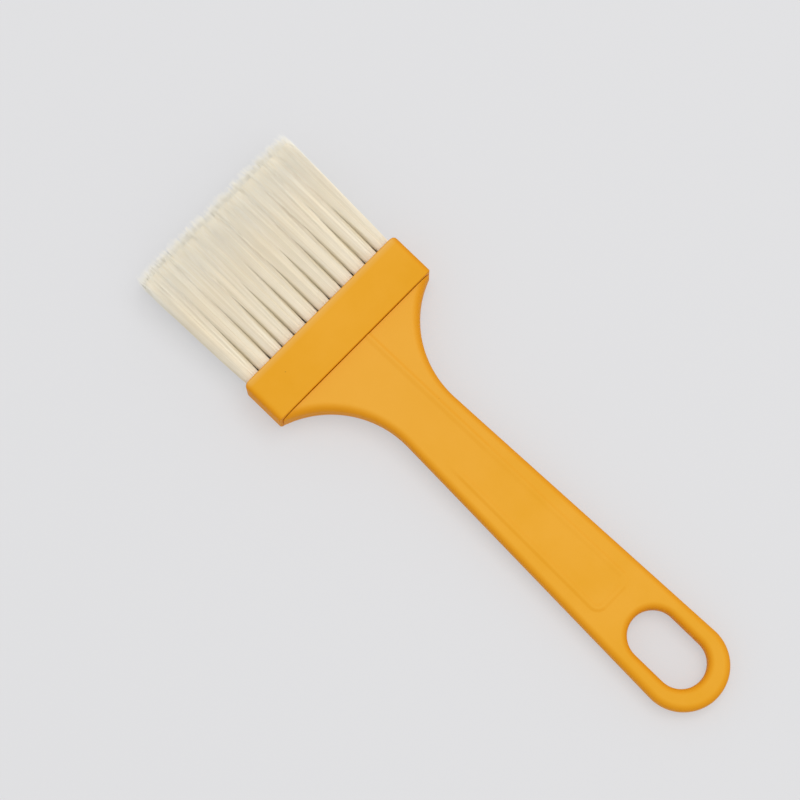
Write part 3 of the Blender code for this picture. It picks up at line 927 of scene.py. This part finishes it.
leg_y, leg_z = across_tuft(unit_y, unit_z, free_share, given["Lock Strength"])
print(f"{len(tuft_tree.nodes)} nodes so far, with the legs")

# %% [markdown]
# ### The packed inside
# A real tuft has so many hairs that no light passes through its middle. All of them would be millions of
# faces, and too few leave the pack grey and see-through. So the middle is one closed body that opens as
# the hairs do and lies just under the outer ones. Towards the tips it thins to a wedge, and the thin end
# leans outwards, under the hairs that are seen.

# %% Body of the packed inside
CORE_SHARE = 0.92
CORE_SIDES = 24
CORE_POINTS = 21
CORE_SINK = 0.001
CORE_END = 0.915
CORE_END_TAPER = 0.985
CORE_TAPER_POWER = 13.0
CORE_SIDE_TAPER = 0.2
CORE_LIP_HEIGHT = 0.32


def skin(lines, ring, scale=1.0):
    inputs = {"Curve": lines, "Profile Curve": ring, "Scale": scale, "Fill Caps": True}
    return tuft_node("CurveToMesh", inputs)[0]


core_ring = tuft_node("CurvePrimitiveCircle", {"Resolution": CORE_SIDES, "Radius": CORE_SHARE})[0]
core_tube = skin(line_of_points(CORE_POINTS), core_ring)
tube = split_vector(tuft_tree, tuft_node("InputPosition", {})[0])
core_length = tuft_math("MULTIPLY", given["Free Length"], CORE_END)
core_run = tuft_math("MULTIPLY_ADD", tube[0], tuft_math("ADD", core_length, CORE_SINK), -CORE_SINK)
core_share = tuft_math("MAXIMUM", tuft_math("DIVIDE", core_run, given["Free Length"]), 0.0)
core_rounding = tuft_math("MULTIPLY", tuft_math("POWER", tube[0], CORE_TAPER_POWER), CORE_END_TAPER)
core_taper = tuft_math("SQRT", tuft_math("SUBTRACT", 1.0, core_rounding))
side_taper = remap(tuft_tree, core_taper, 0.0, 1.0, 1.0 - CORE_SIDE_TAPER, 1.0)
core_unit_y = tuft_math("MULTIPLY", tube[1], side_taper)
lip_share = tuft_math("MULTIPLY", tuft_math("SUBTRACT", 1.0, core_taper), CORE_LIP_HEIGHT)
wedge_z = tuft_math("MULTIPLY", tube[2], core_taper)
core_unit_z = tuft_math("MULTIPLY_ADD", lip_share, given["Outward"], wedge_z)
core_y, core_z = across_tuft(core_unit_y, core_unit_z, core_share, 0.0)
moved_core = move_to(core_tube, tuft_math("MULTIPLY", core_run, -1.0), core_y, core_z)
core = tuft_node("FlipFaces", {"Mesh": moved_core})[0]
print(f"packed inside of {CORE_SIDES * CORE_POINTS} points")

# %% [markdown]
# ### Strands between the inside and the tips
# Where the packed inside ends, the hairs alone would look thin, and its end would show as a step. Eighty
# strands, thicker than a hair and pointed at both ends, start inside it and stop at different lengths.
# They lie towards the other row, so that the pack thins out little by little.

# %% Lines of the strands
STRAND_POINTS = 7
STRAND_START = 0.70
STRAND_ENDS = (0.89, 0.975)
STRAND_REACH = 0.93
STRAND_SHIFT = 0.3
STRAND_FULLEST = 1.5
STRAND_SWELL = 3.9
STRAND_LEAST = 0.1
strand_copies = copies_of(line_of_points(STRAND_POINTS), given["Strands"])
strand_number = strand_copies["Duplicate Index"]
strand_turn = tuft_math("MULTIPLY", strand_number, GOLDEN_SHARE * 2.0 * math.pi)
strand_filled = tuft_math("DIVIDE", tuft_math("ADD", strand_number, 0.5), given["Strands"])
strand_reach = tuft_math("MULTIPLY", tuft_math("SQRT", strand_filled), STRAND_REACH)
strand_unit_y = tuft_math("MULTIPLY", strand_reach, tuft_math("COSINE", strand_turn))
strand_up = tuft_math("MULTIPLY", strand_reach, tuft_math("SINE", strand_turn))
strand_inwards = tuft_math("MULTIPLY", given["Outward"], -STRAND_SHIFT)
strand_unit_z = tuft_math("MULTIPLY_ADD", strand_up, 1.0 - STRAND_SHIFT, strand_inwards)
strand_end = tuft_draw(*STRAND_ENDS, strand_number, STRAND_END_DRAW)
strand_length = tuft_math("SUBTRACT", strand_end, STRAND_START)
strand_share = tuft_math("MULTIPLY_ADD", place_on_line, strand_length, STRAND_START)
strand_y, strand_z = across_tuft(strand_unit_y, strand_unit_z, strand_share, given["Lock Strength"])
strand_x = tuft_math("MULTIPLY", tuft_math("MULTIPLY", strand_share, given["Free Length"]), -1.0)
placed_strands = move_to(strand_copies["Geometry"], strand_x, strand_y, strand_z)
strand_run = tuft_math("POWER", place_on_line, STRAND_FULLEST)
strand_swell = tuft_math("MULTIPLY", tuft_math("SUBTRACT", 1.0, strand_run), strand_run)
strand_swell = tuft_math("MULTIPLY_ADD", strand_swell, STRAND_SWELL, STRAND_LEAST)
strand_radius = tuft_math("MULTIPLY", strand_swell, given["Strand Radius"])
print(f"{STRAND_POINTS} points on a strand")

# %% [markdown]
# ### The fold, and the finished tuft
# The two legs of a hair meet behind the anchor and pass it on its two sides. Each line then gets a skin of
# three sides, which is enough for a hair a tenth of a millimetre thick, and tapers to a fine tip. The tree
# ends in Realize Instances and Set Material, because the export takes only plain faces.

# %% The fold behind the anchor
FOLD_REACH = 0.0009
TAPER_START = 5.0
fold_opening = tuft_math("MINIMUM", tuft_math("DIVIDE", from_fold, FOLD_REACH), 1.0)
still_inside = tuft_math("SUBTRACT", 1.0, tuft_math("DIVIDE", from_fold, given["Fold Depth"]))
anchor_push = tuft_math("MULTIPLY", tuft_math("MAXIMUM", still_inside, 0.0), given["Anchor Gap"])
leg_y = tuft_math("MULTIPLY", tuft_math("MULTIPLY_ADD", anchor_push, leg_side, leg_y), fold_opening)
leg_x = tuft_math("SUBTRACT", given["Fold Depth"], from_fold)
placed_hairs = move_to(hair_copies["Geometry"], leg_x, leg_y, leg_z)
taper = tuft_math("POWER", free_share, TAPER_START)
thinner = tuft_math("SUBTRACT", given["Tip Radius"], given["Hair Radius"])
hair_radius = tuft_math("MULTIPLY_ADD", thinner, taper, given["Hair Radius"])
print(f"{len(tuft_tree.nodes)} nodes so far, with the fold")

# %% Skins, numbers for the material, and the end of the tree
HAIR_SIDES = 3
CORE_TONE = 0.5


def store(geometry, **numbers):
    for name, value in numbers.items():
        inputs = {"Geometry": geometry, "Name": name, "Value": value}
        geometry = tuft_node("StoreNamedAttribute", inputs, data_type="FLOAT")[0]
    return geometry


hair_tone = tuft_draw(0.0, 1.0, leg_number, TONE_DRAW)
strand_tone = tuft_draw(0.0, 1.0, strand_number, STRAND_TONE_DRAW)
hair_lines = store(placed_hairs, along=free_share, tone=hair_tone)
strand_lines = store(placed_strands, along=strand_share, tone=strand_tone)
inside = store(core, along=core_share, tone=CORE_TONE)
hair_ring = tuft_node("CurvePrimitiveCircle", {"Resolution": HAIR_SIDES, "Radius": 1.0})[0]
hair_skins = skin(hair_lines, hair_ring, hair_radius)
strand_skins = skin(strand_lines, hair_ring, strand_radius)
smooth_inside = tuft_node("SetShadeSmooth", {"Geometry": inside})[0]
flat_hairs = tuft_node("SetShadeSmooth", {"Geometry": hair_skins, "Shade Smooth": False})[0]
whole_tuft = tuft_tree.nodes.new("GeometryNodeJoinGeometry")
for made in (smooth_inside, flat_hairs, strand_skins):
    tuft_tree.links.new(made, whole_tuft.inputs[0])
realized = tuft_node("RealizeInstances", {"Geometry": whole_tuft.outputs[0]})[0]
finished = tuft_node("SetMaterial", {"Geometry": realized, "Material": given["Finish"]})[0]
tuft_tree.links.new(finished, tuft_tree.nodes.new("NodeGroupOutput").inputs[0])
print(f"tuft tree of {len(tuft_tree.nodes)} nodes")

# %% [markdown]
# ### Twenty-four tufts from one tree
# Real tufts differ a little. Each one draws its own length, width and drift at the tips, and its legs end
# anywhere in the last 6 mm, so the front of the pack is ragged. A tuft's modifier is set by the
# identifiers of the inputs before it is first evaluated, and is turned into a plain mesh at once.

# %% Make the twenty-four tufts
TUFT_SIZES = {
    "Folded Hairs": 520, "Hair Radius": 0.000045, "Tip Radius": 0.000014,
    "Strands": 80, "Strand Radius": 0.00014,
    "Fold Depth": FOLD_X - FRONT_X, "Anchor Gap": 0.00012, "Raggedness": 0.0060,
    "Root Radius": 0.00137, "Tip Half Height": ROW_PITCH / 2, "Spread Power": 0.95, "Inside Power": 0.40,
    "Locks": 2.2, "Lock Strength": 0.00016, "Finish": bristle,
}
LENGTH_VARIATION = 0.0005
TIP_OVERLAP = 0.00068
LEAST_OVERLAP = 0.8
TIP_DRIFT = 0.00010
OUTWARD = {"upper": 1.0, "lower": -1.0}
draw = random.Random(12)
for seed, name in enumerate(TUFT_NAMES):
    values = {
        "Seed": seed,
        "Mouth": (FRONT_X, *tuft_centres[name]),
        "Outward": OUTWARD[name.split("_")[0]],
        "Free Length": FRONT_X - TIPS_X - draw.uniform(0.0, LENGTH_VARIATION),
        "Tip Half Width": TUFT_PITCH / 2 + draw.uniform(LEAST_OVERLAP, 1.0) * TIP_OVERLAP,
        "Tip Drift": draw.uniform(-TIP_DRIFT, TIP_DRIFT),
    }
    tuft = new_object(f"bristles_{name}", bpy.data.meshes.new(f"bristles_{name}"))
    modifier = tuft.modifiers.new("bristle tuft", "NODES")
    modifier.node_group = tuft_tree
    for input_name, value in {**TUFT_SIZES, **values}.items():
        modifier[tuft_inputs[input_name]] = value
    apply_modifiers(tuft)
    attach(tuft, "root")
    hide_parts(f"tuft_{name}")
report(tuft)

# %% [markdown]
# ## Anchor wire
# The anchors are short lengths of flat drawn wire, and their solids already have that shape. They stay as
# they are and only get the finish of drawn metal: fine lines along the wire and a slightly uneven shine.
# The lines are a noise that is stretched along the wire, which stands upright in its hole.

# %% Draw the anchor wire
LINES_ACROSS, LINES_ALONG = 20000.0, 600.0
DULL_WIRE = (0.50, 0.49, 0.46, 1.0)
BRIGHT_WIRE = (0.72, 0.71, 0.68, 1.0)
WIRE_LINE_SPAN = (0.2, 0.8)
WIRE_ROUGHNESS = (0.25, 0.45)
anchor_wire, tree, shader = new_finish("drawn anchor wire")
place = add_node(tree, "ShaderNodeTexCoord").outputs["Object"]
stretching = {"Vector": place, "Scale": (LINES_ACROSS, LINES_ACROSS, LINES_ALONG)}
stretched = add_node(tree, "ShaderNodeMapping", stretching).outputs[0]
wire_lines = soft_noise(tree, stretched, 1.0, 2.0)
tree.links.new(mix_colours(tree, wire_lines, DULL_WIRE, BRIGHT_WIRE), shader.inputs["Base Color"])
tree.links.new(remap(tree, wire_lines, *WIRE_LINE_SPAN, *WIRE_ROUGHNESS), shader.inputs["Roughness"])
shader.inputs["Metallic"].default_value = 1.0
for name in TUFT_NAMES:
    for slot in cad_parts[f"anchor_{name}"].material_slots:
        slot.material = anchor_wire
print(f"{len(TUFT_NAMES)} anchors in {anchor_wire.name}")

# %% [markdown]
# ## Floor, light and camera
# The brush lies on a plain pale table. It touches it in two places, the lower rear edge of the block and
# the underside of the handle's end, so the floor is tipped by the small angle between them. A lit floor
# alone would be uneven, so what is seen of it, straight or in a reflection, is partly a plain colour of
# its own. The other part takes the light and keeps the brush's shadow.

# %% Place of the floor
FLOOR_SIZE = 6.0
touch_front = Vector((BLOCK_REAR_X - BLOCK_SMALL_WIDTH, 0.0, block_low.z))
touch_rear = Vector((END_X - GRIP_EDGE_RADIUS, 0.0, MID_Z - GRIP_THICKNESS / 2))
tip_angle = math.atan2(touch_rear.z - touch_front.z, touch_rear.x - touch_front.x)
floor_bm = bmesh.new()
bmesh.ops.create_grid(floor_bm, x_segments=1, y_segments=1, size=FLOOR_SIZE / 2)
place_floor = Matrix.Translation(touch_front) @ Matrix.Rotation(-tip_angle, 4, "Y")
bmesh.ops.transform(floor_bm, matrix=place_floor, verts=floor_bm.verts)
print(f"floor tipped by {math.degrees(tip_angle):.2f} degrees")

# %% Finish of the floor
FLOOR_COLOUR = (0.740, 0.740, 0.752, 1.0)
FLOOR_ROUGHNESS = 0.8
FLOOR_SHINE = 0.2
FLOOR_PLAIN_COLOUR = (0.750, 0.750, 0.764, 1.0)
FLOOR_PLAIN_SHARE = 0.58


def seen_share(tree):
    """1 where a ray shows the background, straight or by way of metal or glass, and 0 where it lights."""
    rays = add_node(tree, "ShaderNodeLightPath").outputs
    seen = calculate(tree, "MAXIMUM", rays["Is Camera Ray"], rays["Is Transmission Ray"])
    return calculate(tree, "MAXIMUM", seen, rays["Is Glossy Ray"])


def mix_shaders(tree, share, first, second):
    return add_node(tree, "ShaderNodeMixShader", {0: share, 1: first, 2: second}).outputs[0]


floor_paint, tree, shader = new_finish("pale table")
shader.inputs["Base Color"].default_value = FLOOR_COLOUR
shader.inputs["Roughness"].default_value = FLOOR_ROUGHNESS
shader.inputs["Specular IOR Level"].default_value = FLOOR_SHINE
plain = add_node(tree, "ShaderNodeEmission", {"Color": FLOOR_PLAIN_COLOUR, "Strength": 1.0}).outputs[0]
plain_share = calculate(tree, "MULTIPLY", seen_share(tree), FLOOR_PLAIN_SHARE)
table_top = mix_shaders(tree, plain_share, shader.outputs[0], plain)
tree.links.new(table_top, tree.nodes["Material Output"].inputs["Surface"])
floor = new_object("floor", mesh_from(floor_bm, "floor"), floor_paint)
floor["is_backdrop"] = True
print(f"{floor_paint.name}: {len(tree.nodes)} nodes")

# %% [markdown]
# The light is that of a plain room: an even white sky, and one large soft box high above, a little to the
# right, which gives the soft shadow on the left. The sky could be the background too, but then one level
# would have to suit both. So a ray that shows the background gets a colour of its own.

# %% Sky
SKY_LEVEL = 0.71
SKY_COLOUR = (1.0, 1.0, 1.0, 1.0)
BACKDROP_COLOUR = (0.76, 0.76, 0.772, 1.0)
world = bpy.data.worlds.new("soft room")
world.use_nodes = True
bpy.context.scene.world = world
sky = world.node_tree
sky.nodes.clear()
room = add_node(sky, "ShaderNodeBackground", {"Color": SKY_COLOUR, "Strength": SKY_LEVEL}).outputs[0]
backdrop = add_node(sky, "ShaderNodeBackground", {"Color": BACKDROP_COLOUR, "Strength": 1.0}).outputs[0]
room_or_backdrop = mix_shaders(sky, seen_share(sky), room, backdrop)
sky.links.new(room_or_backdrop, sky.nodes.new("ShaderNodeOutputWorld").inputs["Surface"])
bpy.context.scene.view_settings.view_transform = "Standard"
print(f"sky {SKY_LEVEL} of white")

# %% Soft box
KEY_DISTANCE = 1.2
KEY_SIZE = 0.75
KEY_POWER = 5.2
KEY_FROM = Vector((0.0, 0.28, 1.0)).normalized()
key = bpy.data.lights.new("soft box", "AREA")
key.size = KEY_SIZE
key.energy = KEY_POWER
key_lamp = bpy.data.objects.new("soft box", key)
bpy.context.scene.collection.objects.link(key_lamp)
key_lamp.location = KEY_FROM * KEY_DISTANCE
key_lamp.rotation_euler = KEY_FROM.to_track_quat("Z", "Y").to_euler()
print(f"soft box {KEY_POWER} W at {KEY_DISTANCE} m")

# %% [markdown]
# The camera looks down steeply and is turned so that the brush lies from corner to corner. It could be
# placed by trial; here its turn, its height and the scale of the picture are written down, and the lens
# follows from the scale and the distance.

# %% Camera
CAMERA_AZIMUTH = math.radians(44.354)
CAMERA_ELEVATION = math.radians(81.0)
CAMERA_DISTANCE = 0.700
AIM_FROM_FRONT, AIM_ASIDE = 0.024245, -0.001187
FRAME_PIXELS = 800
PIXELS_PER_METRE = 4892.0
SENSOR_WIDTH = 36.0
aim = Vector((FRONT_X + AIM_FROM_FRONT, AIM_ASIDE, MID_Z))
flat = math.cos(CAMERA_ELEVATION)
backwards = Vector(
    (math.sin(CAMERA_AZIMUTH) * flat, -math.cos(CAMERA_AZIMUTH) * flat, math.sin(CAMERA_ELEVATION))
)
rightwards = Vector((math.cos(CAMERA_AZIMUTH), math.sin(CAMERA_AZIMUTH), 0.0))
upwards = backwards.cross(rightwards)
camera = bpy.data.cameras.new("camera")
camera.sensor_width = SENSOR_WIDTH
camera.lens = SENSOR_WIDTH * CAMERA_DISTANCE * PIXELS_PER_METRE / FRAME_PIXELS
camera_object = bpy.data.objects.new("camera", camera)
bpy.context.scene.collection.objects.link(camera_object)
turn = Matrix((rightwards, upwards, backwards)).transposed().to_4x4()
camera_object.matrix_world = Matrix.Translation(aim + backwards * CAMERA_DISTANCE) @ turn
bpy.context.scene.camera = camera_object
print(f"lens {camera.lens:.1f} mm")

# %% [markdown]
# ## The two boxes
# The last cell prints the box of the solids and the box of the finished brush, so that the two can be
# compared.

# %% Print the two boxes
finished_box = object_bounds()
boxes = {"solids": [list(c) for c in solids_box], "finished": [list(c) for c in finished_box]}
for title, corners in boxes.items():
    print(title, [[round(v * 1000, 2) for v in corner] for corner in corners])
